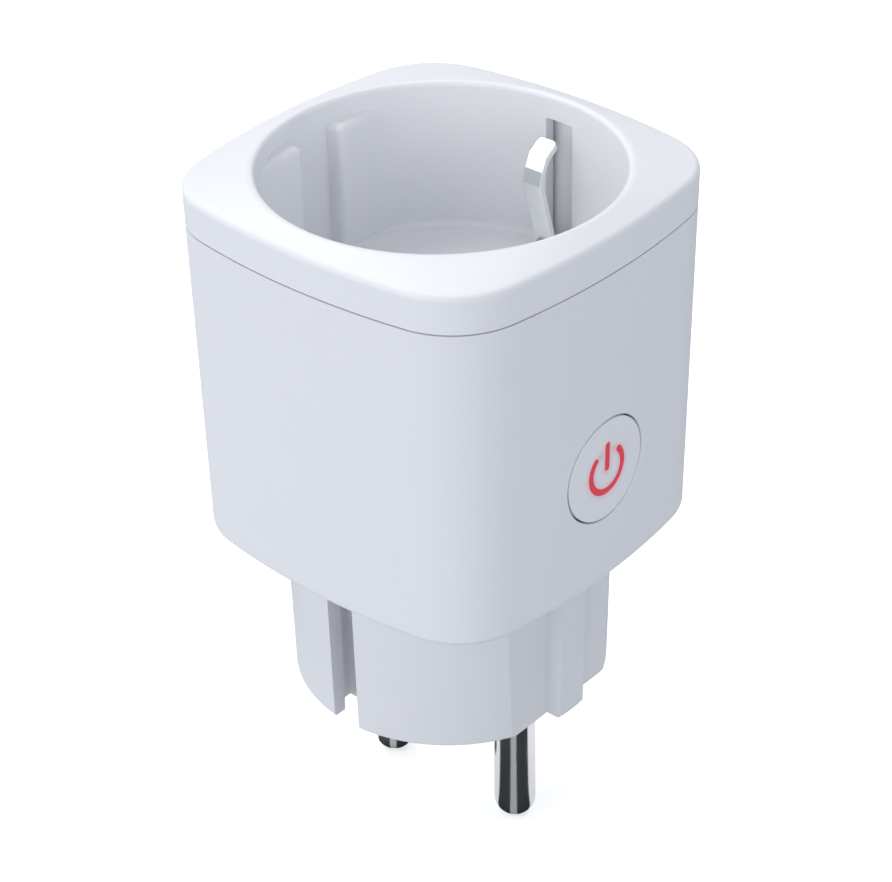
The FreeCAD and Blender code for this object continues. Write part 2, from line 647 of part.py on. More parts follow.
def earth_clips():
    """The sprung clips in the well: a rounded tip, a nose that presses on the plug, a foot."""
    bends = [(f"{out}", f"rim_height - {deep}") for out, deep in CLIP_BENDS]
    foot = (f"{CLIP_BENDS[-1][0]}", f"{FLOOR_UNDER} + clip_foot")
    clip = bent_strip("clip_right", bends + [foot], "clip_half")

    def tip_corner(edge):
        box_of = edge.BoundBox
        past = box_of.XMin > CLIP_BENDS[0][0] - 0.15
        return box_of.YLength < 0.01 and past and box_of.ZMax > value(bends[1][1])

    def long_edge(edge):
        box_of = edge.BoundBox
        return box_of.YLength < 0.01 and edge.Length > value("strap_thick") * 1.05

    tipped = soften("clip_right_tipped", clip, "clip_tip", tip_corner)
    rounded = soften("clip_right_rounded", tipped, "clip_edge", long_edge)
    piece("earth_clip_right", rounded)
    piece("earth_clip_left", mirrored("clip_left", rounded))


# ---------------------------------------------------------------- button

def power_button():
    """A flush round key with a collar behind the wall, and its translucent power symbol."""
    face = body("button_face_block")
    block = Drawing(face, "button_outline", lift="seam")
    block.outline("seam")
    pad(face, block, "seam - plug_depth", down=True, taper="-atan(draft)")
    stub = rod("button_stub", "button_rad", ("0", "-beyond", "button_height"),
               "beyond - collar_front + 0.2", "y")
    flush = common("button_front", face, stub)

    def front_rim(edge):
        box_of = edge.BoundBox
        return box_of.YMax < value("1.2 - half_width") and box_of.XLength > value("button_rad")
    front = soften("button_front_rounded", flush, "button_edge", front_rim)
    collar = rod("button_collar", "collar_rad", ("0", "-collar_front", "button_height"),
                 "collar_thick", "y")
    key = fuse("button_key", front, collar,
               rod("button_core", "button_rad", ("0", "-collar_front - 1", "button_height"),
                   "button_core", "y"))
    symbol_back = f"half_width - ({drawn_in('button_height')}) - symbol_depth"
    symbol = body("symbol_body")
    arcs = Drawing(symbol, "symbol_ring", "XZ_Plane", lift=symbol_back)
    broken_ring(arcs)
    pad(symbol, arcs, "5")
    round_over(symbol, "symbol_ring_ends", "symbol_end", along_y)
    ring = common("symbol_ring_flush", symbol, face)
    bar = box("symbol_bar", ("-symbol_stroke / 2", "symbol_stroke / 2"),
              ("-beyond", f"-({symbol_back})"),
              ("button_height - bar_low", "button_height + bar_top"))
    bar_round = soften("symbol_bar_ends", bar, "symbol_end", along_y)
    bar_flush = common("symbol_bar_flush", bar_round, face)
    lit = doc.addObject("Part::Compound", "symbol_group")
    lit.Links = [ring, bar_flush]
    doc.recompute()
    piece("power_symbol", lit, parts=2)
    piece("power_button", cut("button_moulding", key, ring, bar_flush))


def along_y(edge):
    box_of = edge.BoundBox
    return box_of.XLength < 0.01 and box_of.ZLength < 0.01


def broken_ring(drawing):
    """A ring about the button's centre, open at the top."""
    sketch = drawing.sketch
    centre = V(0, value("button_height"), 0)
    half_gap = math.radians(value("symbol_gap"))
    low, high = math.pi / 2 + half_gap, math.pi / 2 - half_gap + 2 * math.pi
    arcs = []
    for sign in ("-", "+"):
        radius = f"symbol_rad {sign} symbol_stroke / 2"
        ring = Part.Circle(centre, V(0, 0, 1), value(radius))
        index = sketch.addGeometry(Part.ArcOfCircle(ring, low, high), False)
        drawing.measure("Radius", (index,), radius)
        arcs.append(index)
    drawing.place((arcs[0], 3), "0", "button_height")
    drawing.tie("Coincident", arcs[0], 3, arcs[1], 3)
    for end, angle in ((1, low), (2, high)):
        points = [centre + V(math.cos(angle), math.sin(angle), 0) * value(r)
                  for r in ("symbol_rad - symbol_stroke / 2", "symbol_rad + symbol_stroke / 2")]
        line = sketch.addGeometry(Part.LineSegment(*points), False)
        drawing.tie("Coincident", line, 1, arcs[0], end)
        drawing.tie("Coincident", line, 2, arcs[1], end)


# ---------------------------------------------------------------- boards

def main_board():
    """The mains board, on the housing's four posts, slotted for pins, feet and strips."""
    board = body("board_body")
    plate = Drawing(board, "board_plate", lift="board_under")
    half = "half_width - board_inset"
    plate.bowed_square(half, "side_rad", "board_corner")
    pad(board, plate, "board_thick")
    holes = Drawing(board, "board_holes", lift=BOARD_TOP)
    slots = Drawing(board, "board_slots", lift=BOARD_TOP)
    for sy in (1, -1):
        holes.circle("tail_hole", "0", f"{sy} * pin_pitch / 2")
        slots.rectangle("contact_bore + 0.05", "contact_bore + contact_wall + 0.15",
                        f"{sy} * pin_pitch / 2 - foot_slot_half",
                        f"{sy} * pin_pitch / 2 + foot_slot_half")
        for sx in (1, -1):
            holes.circle("screw_hole", f"{sx} * post_at", f"{sy} * post_at")
    pocket(board, holes, "board_thick")
    pocket(board, slots, "board_thick")
    piece("main_board", board)


def board_screws():
    """Four pan-head screws through the main board into the housing's posts."""
    made = []
    for n, (sx, sy) in enumerate(((1, 1), (1, -1), (-1, 1), (-1, -1))):
        at = (f"{sx} * post_at", f"{sy} * post_at")
        head = rod(f"screw_head_{n}", "head_rad", at + (BOARD_TOP,), "head_tall")
        shank = rod(f"screw_shank_{n}", "pilot_rad", at + (f"{BOARD_TOP} - screw_shank",),
                    "screw_shank")
        socket = box(f"screw_slot_{n}", (f"{at[0]} - slot_long", f"{at[0]} + slot_long"),
                     (f"{at[1]} - slot_half", f"{at[1]} + slot_half"),
                     (f"{BOARD_TOP} + head_tall - slot_deep", f"{BOARD_TOP} + head_tall + 1"))
        made.append(cut(f"screw_{n}", fuse(f"screw_blank_{n}", head, shank), socket))
    group = doc.addObject("Part::Compound", "screw_group")
    group.Links = made
    doc.recompute()
    piece("board_screws", group, parts=4)


def control_board():
    """The upright board behind the button with its push switch and two indicator lamps."""
    front = "-(panel_back + panel_thick)"
    board = box("panel", ("-panel_half", "panel_half"), (front, "-panel_back"),
                (BOARD_TOP, "panel_top"))
    piece("control_board", board)
    switch = box("switch_block", ("-switch_half", "switch_half"),
                 (f"{front} - switch_tall", front),
                 ("button_height - switch_half", "button_height + switch_half"))
    bore = rod("switch_bore", "plunger_rad + 0.05",
               ("0", f"{front} - switch_tall - 1", "button_height"), "plunger_room + 1", "y")
    piece("push_switch", cut("switch_case", switch, bore))
    plunger = rod("plunger_rod", "plunger_rad",
                  ("0", f"{front} - switch_tall - plunger_out", "button_height"),
                  "plunger_out + plunger_in", "y")
    piece("switch_plunger", plunger)
    lamps = [box(f"lamp_{n}", ("-lamp_half", "lamp_half"), (f"{front} - lamp_thick", front),
                 (f"button_height {sign} lamp_at - lamp_tall_half",
                  f"button_height {sign} lamp_at + lamp_tall_half"))
             for n, sign in enumerate("-+")]
    group = doc.addObject("Part::Compound", "lamp_group")
    group.Links = lamps
    doc.recompute()
    piece("indicator_lamps", group, parts=2)
    block = box("header_block", ("-header_half", "header_half"),
                ("-panel_back", "-panel_back + header_thick"),
                (BOARD_TOP, f"{BOARD_TOP} + header_tall"))
    piece("board_header", block)


def radio_board():
    """The radio board standing on the main board, with its shield can towards the middle."""
    board = box("radio_plate", ("-radio_back", "-radio_front"), ("-radio_half", "radio_half"),
                (BOARD_TOP, "panel_top"))
    can = box("radio_can", ("-radio_front", "-can_front"), ("-can_half", "can_half"),
              (f"{BOARD_TOP} + can_low", "can_top"))
    piece("radio_board", board)
    piece("radio_shield", soften("radio_can_rounded", can, "can_round",
                                 lambda edge: edge.BoundBox.XLength > 1))


# ---------------------------------------------------------------- relay

def relay():
    """The switching relay, opened up: base, yoke, coil, rocking armature, contact and case."""
    right, back = "relay_left + relay_wide", "relay_front + relay_long"
    middle = "relay_left + relay_wide / 2"
    top = f"{BOARD_TOP} + relay_tall"
    inner = ("relay_left + relay_wall", f"{right} - relay_wall")
    inner_y = ("relay_front + relay_wall", f"{back} - relay_wall")
    outside = box("relay_block", ("relay_left", right), ("relay_front", back), (BOARD_TOP, top))
    rounded = soften("relay_block_rounded", outside, "relay_round", upright)
    hollow = box("relay_hollow", inner, inner_y, (f"{BOARD_TOP} - 1", f"{top} - relay_wall"))
    piece("relay_case", cut("relay_shell", rounded, hollow))
    piece("relay_base", box("relay_floor", tuple(f"{e} {s} relay_play" for e, s in zip(inner, "+-")),
                            tuple(f"{e} {s} relay_play" for e, s in zip(inner_y, "+-")),
                            (BOARD_TOP, f"{BOARD_TOP} + relay_floor")))
    floor = f"{BOARD_TOP} + relay_floor"
    core_top = f"{floor} + core_tall"
    core = rod("coil_core", "core_rad", (middle, "coil_y", floor), "core_tall")
    winding = rod("coil_winding", "coil_rad", (middle, "coil_y", f"{floor} + coil_rim_tall"),
                  "coil_tall")
    flanges = [rod(f"coil_flange_{n}", "coil_rad + coil_rim",
                   (middle, "coil_y", f"{floor} + {lift}"), "coil_rim_tall")
               for n, lift in enumerate(("0", "coil_rim_tall + coil_tall"))]
    piece("relay_coil", fuse("coil", core, winding, *flanges))
    yoke = box("yoke_post", (f"{middle} - yoke_half", f"{middle} + yoke_half"),
               ("pivot_y - yoke_half_thick", "pivot_y + yoke_half_thick"),
               (floor, f"{core_top} + armature_gap - yoke_play"))
    piece("relay_yoke", yoke)
    plate_low = f"{core_top} + armature_gap"
    plate_top = f"{plate_low} + armature_thick"
    plate = box("armature_plate", (f"{middle} - armature_half", f"{middle} + armature_half"),
                ("coil_y - armature_front", "pivot_y + armature_back"), (plate_low, plate_top))
    rivet = rod("armature_rivet", "rivet_rad", (middle, "pivot_y + rivet_at", plate_top),
                "rivet_tall")
    piece("relay_armature", fuse("armature", plate, rivet))
    leg_y = ("pivot_y + arm_leg_front", "pivot_y + arm_leg_back")
    arm_x = (f"{middle} - arm_half", f"{middle} + arm_half")
    arm = box("contact_arm", arm_x, ("pivot_y + arm_start", leg_y[1]),
              (f"{plate_low} + arm_lift", f"{plate_low} + arm_lift + arm_thick"))
    leg = box("contact_leg", arm_x, leg_y, (floor, f"{plate_low} + arm_lift + arm_thick / 2"))
    piece("relay_contact", fuse("fixed_contact", arm, leg))


# ---------------------------------------------------------------- small parts on the board

def can_capacitor(node, radius, tall, x, y):
    """An aluminium can with the rolled groove near its foot."""
    can = rod(node + "_can", radius, (x, y, BOARD_TOP), tall)
    groove = doc.addObject("Part::Torus", node + "_groove")
    bind(groove, Radius1=f"{radius} + groove_out", Radius2="groove_round",
         Placement__Base__x=x, Placement__Base__y=y,
         Placement__Base__z=f"{BOARD_TOP} + groove_lift")
    piece(node, cut(node + "_body", can, groove))


def block_part(node, name, radius="block_round"):
    """A moulded block standing on the main board, with softened upright edges."""
    block = box(node + "_block", (f"{name}_left", f"{name}_right"),
                (f"{name}_front", f"{name}_back"), (BOARD_TOP, f"{BOARD_TOP} + {name}_tall"))
    piece(node, soften(node + "_soft", block, radius, upright))


def choke():
    """The supply's choke: a wound spool between two rims."""
    at = ("choke_x", "choke_y")
    spool = rod("choke_core", "choke_core", at + (BOARD_TOP,), "choke_tall")
    lifts = (BOARD_TOP, f"{BOARD_TOP} + choke_tall - choke_rim_tall")
    rims = [rod(f"choke_rim_{n}", "choke_rim", at + (lift,), "choke_rim_tall")
            for n, lift in enumerate(lifts)]
    coil = rod("choke_winding", "choke_coil", at + (f"{BOARD_TOP} + choke_rim_tall",),
               "choke_tall - 2 * choke_rim_tall")
    piece("choke", fuse("choke_body", spool, coil, *rims))


def varistor():
    """The surge protector: a dipped disc on two leads."""
    disc = rod("varistor_disc", "disc_rad", ("disc_x", "disc_y", f"{BOARD_TOP} + disc_lift"),
               "disc_thick", "y")
    leads = [rod(f"varistor_lead_{n}", "lead_rad",
                 (f"disc_x {sign} disc_lead_apart", "disc_lead_y", BOARD_TOP), "disc_lead_tall")
             for n, sign in enumerate("-+")]
    piece("varistor", fuse("varistor_body", disc, *leads))


def mains_fuse():
    """The fuse: a ceramic tube lying between two metal caps, on two leads."""
    axis = f"{BOARD_TOP} + fuse_lift"
    tube = rod("fuse_tube", "fuse_rad", ("fuse_x", "-fuse_half", axis), "2 * fuse_half", "y")
    starts = ("-fuse_cap_end", "fuse_cap_end - fuse_cap_long")
    caps = [rod(f"fuse_cap_{n}", "fuse_cap_rad", ("fuse_x", y, axis), "fuse_cap_long", "y")
            for n, y in enumerate(starts)]
    leads = [rod(f"fuse_lead_{n}", "lead_rad", ("fuse_x", y, BOARD_TOP), "fuse_lead_tall")
             for n, y in enumerate(("-fuse_lead_at", "fuse_lead_at"))]
    piece("fuse", fuse("fuse_body", tube, *caps, *leads))


def supply_parts():
    """The power supply, surge protection and metering parts."""
    can_capacitor("input_capacitor", "input_rad", "input_tall", "input_x", "input_y")
    can_capacitor("output_capacitor", "output_rad", "output_tall", "0", "output_y")
    block_part("x_capacitor", "film", "film_round")
    block_part("bridge_rectifier", "bridge")
    block_part("meter_chip", "meter")
    block_part("shunt_resistor", "shunt")
    choke()
    varistor()
    mains_fuse()


# ---------------------------------------------------------------- the whole plug

def build():
    fill_sheet()
    pins = [plug_pin("live_pin", -1), plug_pin("neutral_pin", 1)]
    plug_base(pins)
    housing()
    socket_cover()
    power_button()
    socket_contact("live_contact", -1)
    socket_contact("neutral_contact", 1)
    earth_parts()
    earth_clips()
    main_board()
    board_screws()
    control_board()
    radio_board()
    relay()
    supply_parts()
    doc.recompute()


def check_and_write():
    """Every object has to be up to date and every sub-part a valid shape before it is kept."""
    for made in doc.Objects:
        if {"Invalid", "Error"} & set(made.State):
            raise ValueError(f"{made.Name} failed: {made.State}")
    for node, (feature, parts) in pieces.items():
        shape = feature.Shape
        if shape.isNull() or not shape.isValid() or len(shape.Solids) != parts:
            raise ValueError(f"{node} is not {parts} valid solid(s): {len(shape.Solids)}")
    os.makedirs("parts", exist_ok=True)
    for node, (feature, parts) in pieces.items():
        feature.Shape.exportStep(f"parts/{node}.step")
        print(f"{node:18} {feature.Shape.Volume:9.1f} mm3")


build()
check_and_write()
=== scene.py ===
import json
import math

import bpy
from mathutils import Matrix, Vector


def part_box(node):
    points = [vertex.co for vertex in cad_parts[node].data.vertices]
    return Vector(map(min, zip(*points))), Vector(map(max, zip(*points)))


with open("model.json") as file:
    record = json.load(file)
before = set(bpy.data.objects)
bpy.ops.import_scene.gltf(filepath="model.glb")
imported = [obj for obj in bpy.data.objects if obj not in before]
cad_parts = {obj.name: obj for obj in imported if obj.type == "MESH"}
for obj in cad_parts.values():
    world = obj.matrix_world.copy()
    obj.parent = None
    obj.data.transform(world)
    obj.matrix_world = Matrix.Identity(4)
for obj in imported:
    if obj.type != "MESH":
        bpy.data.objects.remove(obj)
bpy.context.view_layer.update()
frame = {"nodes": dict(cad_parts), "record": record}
MM = 0.001

CAMERA_TURNS = (-48.266, 33.031, -1.198)  # azimuth, elevation and roll in degrees
CAMERA_DISTANCE = 298.39 * MM
CAMERA_AIM = 26.30 * MM
LENS, SENSOR, SHIFT = 108.72, 36, (-0.0018, 0.0199)
CLIP_PLANES = (0.01, 50)

WHITE = (0.83, 0.84, 0.86)
STROKE = 0.76 * MM  # width of the power symbol's line
HALO_REACH = 1.1 * MM  # how far the lit symbol's painted glow reaches on the plastic round it
HALO_FALL = 2.5
HALO_SHARE = 0.6
RING_GAP = 0.8  # the ring is open above this share of its radius
MIDDLE = (0.3, 0.7)  # most of a noise texture's values lie between these
CLOUDS = 9 * MM
GRIT = 0.12 * MM
SHEEN = 1.6 * MM
WEAVE = 0.9 * MM
VIA_PITCH = 2.2 * MM
VIA_EDGE = (0.10, 0.14)
BAND_SCALE = 0.314  # a wave texture at this over the wire's width gives about a band a turn

FLOOR_SIZE = 6.0
FLOOR_GLOW = 0.5
BOUNCE = (0.57, 0.588, 0.63)
BOUNCE_DROP = 0.05 * MM
SKY_LOW = (0.68, 0.708, 0.77)
SKY_HIGH = (0.405, 0.42, 0.455)
SKY_TOP = 0.75
CARD_PAPERS = (("card_dark", (0.03, 0.03, 0.035), 0), ("card_light", (0.6, 0.6, 0.6), 0.42),
               ("card_pale", (0.45, 0.46, 0.48), 0.1))
# Sectors round a pin: first and last angle in degrees, and which of the papers it is.
CARD_TURNS = ((136, 199, 0), (199, 228, 2), (228, 292, 0), (292, 496, 1))
CARD_REACH = {"live_pin": 36 * MM, "neutral_pin": 7 * MM}
CARD_START = 0.2 * MM
CARD_LIFT = 0.01 * MM
CARD_STEP = 8
# Each light: azimuth, elevation, width in metres, watts and colour.
LIGHTS = {
    "key": (163, 20, 0.9, 3.3, (1.0, 0.99, 0.98)),
    "front": (212, 12, 0.35, 0.95, (1, 1, 1)),
    "back": (66, 54, 0.8, 4.7, (1, 1, 1)),
    "over": (235, 74, 0.5, 1.0, (1, 1, 1)),
    "fill": (268, 16, 0.5, 0.7, (1, 1, 1)),
    "glint": (104, 55, 0.35, 1.2, (1, 1, 1)),
}
LIGHT_DISTANCE = 1.1
LIGHT_AIM = 30 * MM


# ---------------------------------------------------------------- camera

def make_camera():
    """Looks down on the front corner, between the plain wall and the button's wall."""
    azimuth, elevation, roll = (math.radians(turn) for turn in CAMERA_TURNS)
    back = Vector((math.sin(azimuth) * math.cos(elevation),
                   -math.cos(azimuth) * math.cos(elevation), math.sin(elevation)))
    right = Vector((math.cos(azimuth), math.sin(azimuth), 0))
    up = back.cross(right)
    tilted_right = math.cos(roll) * right + math.sin(roll) * up
    tilted_up = math.cos(roll) * up - math.sin(roll) * right
    lens = bpy.data.cameras.new("camera")
    lens.sensor_width, lens.lens = SENSOR, LENS
    lens.shift_x, lens.shift_y = SHIFT
    lens.clip_start, lens.clip_end = CLIP_PLANES
    camera = bpy.data.objects.new("camera", lens)
    place = Vector((0, 0, CAMERA_AIM)) + CAMERA_DISTANCE * back
    camera.matrix_world = Matrix.Translation(place) @ Matrix(
        (tilted_right, tilted_up, back)).transposed().to_4x4()
    bpy.context.scene.collection.objects.link(camera)
    bpy.context.scene.camera = camera


make_camera()


# ---------------------------------------------------------------- node helpers

class Graph:
    """A material's node tree, with short calls for the nodes used here."""

    def __init__(self, name):
        self.material = bpy.data.materials.new(name)
        self.material.use_nodes = True
        self.tree = self.material.node_tree
        self.shader = self.tree.nodes["Principled BSDF"]
        self.place = self.node("ShaderNodeTexCoord").outputs["Object"]

    def node(self, kind, **settings):
        made = self.tree.nodes.new(kind)
        for key, setting in settings.items():
            setattr(made, key, setting)
        return made

    def link(self, source, target):
        self.tree.links.new(source, target)

    def math(self, operation, a, b=None):
        made = self.node("ShaderNodeMath", operation=operation)
        for socket, entry in zip(made.inputs, (a, b)):
            if isinstance(entry, (int, float)):
                socket.default_value = entry
            elif entry is not None:
                self.link(entry, socket)
        return made.outputs[0]

    def stretched(self, x=1.0, y=1.0, z=1.0):
        """The object's own coordinates, scaled along each axis."""
        made = self.node("ShaderNodeMapping")
        made.inputs["Scale"].default_value = (x, y, z)
        self.link(self.place, made.inputs["Vector"])
        return made.outputs[0]

    def noise(self, size, detail=3.0, rough=0.5, where=None):
        """Noise whose features are about size metres across, from 0 to 1."""
        made = self.node("ShaderNodeTexNoise")
        made.inputs["Scale"].default_value = 1 / size
        made.inputs["Detail"].default_value = detail
        made.inputs["Roughness"].default_value = rough
        self.link(where or self.place, made.inputs["Vector"])
        return made.outputs["Fac"]

    def spread(self, source, low, high, start=0.0, end=1.0):
        """source from start..end to low..high."""
        made = self.node("ShaderNodeMapRange")
        limits = {"From Min": start, "From Max": end, "To Min": low, "To Max": high}
        for key, number in limits.items():
            made.inputs[key].default_value = number
        self.link(source, made.inputs["Value"])
        return made.outputs[0]

    def mix(self, share, a, b):
        """Colour a where share is 0 and b where it is 1."""
        made = self.node("ShaderNodeMix", data_type="RGBA")
        self.link(share, made.inputs["Factor"])
        for key, colour in (("A", a), ("B", b)):
            sockets = [s for s in made.inputs if s.name == key and s.type == "RGBA"]
            if isinstance(colour, tuple):
                sockets[0].default_value = (*colour, 1)
            else:
                self.link(colour, sockets[0])
        return next(s for s in made.outputs if s.type == "RGBA")

    def bump(self, height, depth):
        """A normal for height from 0 to 1 over depth metres."""
        made = self.node("ShaderNodeBump")
        made.inputs["Strength"].default_value = 1.0
        made.inputs["Distance"].default_value = depth
        self.link(height, made.inputs["Height"])
        return made.outputs["Normal"]

    def finish(self, colour, roughness, normal, **fixed):
        """Wires up the shader; fixed gives values for its other sockets."""
        for key, source in (("Base Color", colour), ("Roughness", roughness), ("Normal", normal)):
            self.link(source, self.shader.inputs[key])
        for key, number in fixed.items():
            self.shader.inputs[key.replace("_", " ")].default_value = number
        return self.material


def shade(colour, factor):
    return tuple(min(1.0, c * factor) for c in colour)


# ---------------------------------------------------------------- materials

def moulded(name, colour, rough, grain=GRIT, relief=0.004 * MM, **fixed):
    """Injection-moulded plastic: a fine spark-eroded grain and very faint flow clouds."""
    g = Graph(name)
    clouds = g.noise(CLOUDS, 4, 0.6)
    grit = g.noise(grain, 2, 0.5)
    tone = g.math("ADD", g.math("MULTIPLY", clouds, 0.7), g.math("MULTIPLY", grit, 0.3))
    colour_out = g.mix(tone, shade(colour, 0.985), shade(colour, 1.012))
    roughness = g.spread(g.noise(SHEEN, 3), rough - 0.05, rough + 0.05, *MIDDLE)
    return g.finish(colour_out, roughness, g.bump(grit, relief), **fixed)


def plated(name, colour, rough, grain=(1, 1, 1), relief=0.002 * MM):
    """Polished plating over turned or stamped metal, with faint drawn lines."""
    g = Graph(name)
    lines = g.noise(0.15 * MM, 2, 0.5, g.stretched(*grain))
    haze = g.noise(2.5 * MM, 3, 0.6)
    colour_out = g.mix(haze, shade(colour, 0.97), shade(colour, 1.02))
    both = g.math("ADD", g.math("MULTIPLY", lines, 0.5), g.math("MULTIPLY", haze, 0.5))
    roughness = g.spread(both, rough * 0.75, rough * 1.25, *MIDDLE)
    return g.finish(colour_out, roughness, g.bump(lines, relief), Metallic=1.0)


def laminate(name, colour):
    """A circuit board: solder mask over a woven laminate, with scattered pale plated dots."""
    g = Graph(name)
    weave = g.node("ShaderNodeTexBrick")
    weave.inputs["Scale"].default_value = 1 / WEAVE
    weave.inputs["Mortar Size"].default_value = 0.03
    g.link(g.place, weave.inputs["Vector"])
    cells = g.node("ShaderNodeTexVoronoi", feature="F1")
    cells.inputs["Scale"].default_value = 1 / VIA_PITCH
    cells.inputs["Randomness"].default_value = 0.55
    g.link(g.place, cells.inputs["Vector"])
    dots = g.spread(cells.outputs["Distance"], 1, 0, *VIA_EDGE)
    masked = g.mix(weave.outputs["Fac"], colour, shade(colour, 0.75))
    colour_out = g.mix(dots, masked, (0.78, 0.77, 0.70))
    roughness = g.spread(g.noise(1.2 * MM, 2), 0.28, 0.42, *MIDDLE)
    return g.finish(colour_out, roughness, g.bump(weave.outputs["Fac"], 0.01 * MM))


def wound(name, colour, wire, axis):
    """Enamelled wire wound in close turns along an axis, with painted shade darkening the grooves
    between turns.
    """
    g = Graph(name)
    turns = g.node("ShaderNodeTexWave", wave_type="BANDS", bands_direction=axis)
    turns.inputs["Scale"].default_value = BAND_SCALE / wire
    turns.inputs["Distortion"].default_value = 0.4
    g.link(g.place, turns.inputs["Vector"])
    # painted shade: the grooves between turns are painted darker than the wire's crests
    colour_out = g.mix(turns.outputs["Fac"], shade(colour, 0.35), colour)
    roughness = g.spread(turns.outputs["Fac"], 0.45, 0.25)
    return g.finish(colour_out, roughness, g.bump(turns.outputs["Fac"], wire * 0.3), Metallic=0.85)


def key_plastic(name, colour, glow):
    """The button's plastic, with the lit symbol's light painted faintly into its colour as a pink
    glow round the ring and the bar.
    """
    g = Graph(name)
    low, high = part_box("power_symbol")
    radius = (high.x - low.x) / 2 - STROKE / 2
    split = g.node("ShaderNodeSeparateXYZ")
    g.link(g.place, split.inputs[0])
    across = split.outputs["X"]
    level = g.math("SUBTRACT", split.outputs["Z"], low.z + radius + STROKE / 2)
    out = g.math("SQRT", g.math("ADD", g.math("MULTIPLY", across, across),
                                g.math("MULTIPLY", level, level)))
    in_gap = g.math("MAXIMUM", g.math("SUBTRACT", level, radius * RING_GAP), 0.0)
    from_ring = g.math("ADD", g.math("ABSOLUTE", g.math("SUBTRACT", out, radius)), in_gap)
    above = g.math("MAXIMUM", g.math("SUBTRACT", level, high.z - low.z - radius - STROKE), 0.0)
    below = g.math("MAXIMUM", g.math("MULTIPLY", level, -1.0), 0.0)
    from_bar = g.math("ADD", g.math("ABSOLUTE", across), g.math("ADD", above, below))
    near = g.math("SUBTRACT", g.math("MINIMUM", from_ring, from_bar), STROKE / 2)
    # painted glow: the lit symbol's light painted into the base colour, fading with distance from
    # the ring and the bar
    painted_glow = g.math("POWER", g.spread(near, 1.0, 0.0, 0.0, HALO_REACH), HALO_FALL)
    grit = g.noise(GRIT, 2, 0.5)
    plain = g.mix(grit, shade(colour, 0.99), shade(colour, 1.01))
    roughness = g.spread(g.noise(SHEEN, 3), 0.35, 0.45, *MIDDLE)
    glow_painted_colour = g.mix(g.math("MULTIPLY", painted_glow, HALO_SHARE), plain, glow)
    return g.finish(glow_painted_colour, roughness, g.bump(grit, 0.002 * MM))


MADE = {
    "cap_plastic": moulded("cap_plastic", shade(WHITE, 1.02), 0.42, relief=0.002 * MM),
    "case_plastic": moulded("case_plastic", WHITE, 0.48),
    # painted shade: the plug insert's white is a little darker than the case's, for the shadow the
    # case casts on it
    "plug_plastic": moulded("plug_plastic", shade(WHITE, 0.96), 0.5),
    # the pink is the lit symbol's glow, painted into the button's colour
    "button_plastic": key_plastic("button_plastic", shade(WHITE, 1.04), (0.86, 0.50, 0.55)),
    "symbol_red": moulded("symbol_red", (0.55, 0.02, 0.035), 0.4,
                          Emission_Color=(1.0, 0.03, 0.06, 1), Emission_Strength=0.25),
    "pin_plating": plated("pin_plating", (0.84, 0.845, 0.85), 0.17, (1, 1, 0.05)),
    "clip_plating": plated("clip_plating", (0.93, 0.935, 0.94), 0.2, (0.1, 1, 0.1)),
    "earth_metal": plated("earth_metal", (0.88, 0.88, 0.89), 0.32, (1, 0.1, 1)),
    "contact_bronze": plated("contact_bronze", (0.72, 0.50, 0.26), 0.3, (1, 1, 0.1)),
    "board_laminate": laminate("board_laminate", (0.02, 0.16, 0.07)),
    "screw_steel": plated("screw_steel", (0.58, 0.58, 0.60), 0.3, (1, 1, 0.2)),
    "switch_black": moulded("switch_black", (0.02, 0.02, 0.023), 0.5),
    "plunger_plastic": moulded("plunger_plastic", (0.70, 0.69, 0.64), 0.45),
    "lamp_clear": moulded("lamp_clear", (0.85, 0.62, 0.58), 0.15),
    "shield_tin": plated("shield_tin", (0.70, 0.70, 0.71), 0.35, (0.1, 1, 1)),
    "relay_plastic": moulded("relay_plastic", (0.03, 0.035, 0.05), 0.45),
    "coil_copper": wound("coil_copper", (0.62, 0.24, 0.09), 0.25 * MM, "Z"),
    "relay_iron": plated("relay_iron", (0.50, 0.50, 0.51), 0.4, (1, 0.1, 1)),
    "relay_bronze": plated("relay_bronze", (0.74, 0.52, 0.27), 0.35, (1, 0.1, 1)),
    "can_aluminium": plated("can_aluminium", (0.72, 0.73, 0.74), 0.3, (1, 1, 0.1)),
    "film_yellow": moulded("film_yellow", (0.72, 0.44, 0.05), 0.35),
    "varistor_blue": moulded("varistor_blue", (0.03, 0.10, 0.34), 0.35,
                             relief=0.02 * MM, grain=0.5 * MM),
    "fuse_ceramic": moulded("fuse_ceramic", (0.72, 0.70, 0.63), 0.3),
}


def dress_nodes():
    """Each CAD node takes the finish of its slot in the record."""
    slots = {row["node"]: row["material_slot"] for row in frame["record"]["subparts"]}
    for node, obj in frame["nodes"].items():
        obj.data.materials.clear()
        obj.data.materials.append(MADE[slots[node]])


dress_nodes()


# ---------------------------------------------------------------- studio

def disc(name, level, outer):
    """A level disc of rings, finer towards the middle."""
    rings, spokes = 10, 72
    radii = [outer * (k / rings) ** 2 for k in range(1, rings + 1)]
    turns = [2 * math.pi * s / spokes for s in range(spokes)]
    points = [(0, 0, level)]
    points += [(r * math.cos(t), r * math.sin(t), level) for r in radii for t in turns]
    faces = [(0, 1 + s, 1 + (s + 1) % spokes) for s in range(spokes)]
    for k in range(rings - 1):
        inner, far = 1 + k * spokes, 1 + (k + 1) * spokes
        faces += [(inner + s, far + s, far + (s + 1) % spokes, inner + (s + 1) % spokes)
                  for s in range(spokes)]
    mesh = bpy.data.meshes.new(name)
    mesh.from_pydata(points, [], faces)
    made = bpy.data.objects.new(name, mesh)
    bpy.context.scene.collection.objects.link(made)
    return made


def from_above(g):
    """Lets a sheet's underside be seen through."""
    under = g.node("ShaderNodeMixShader")
    g.link(g.node("ShaderNodeNewGeometry").outputs["Backfacing"], under.inputs[0])
    g.link(g.shader.outputs[0], under.inputs[1])
    g.link(g.node("ShaderNodeBsdfTransparent").outputs[0], under.inputs[2])
    g.link(under.outputs[0], g.tree.nodes["Material Output"].inputs["Surface"])
    return g.material


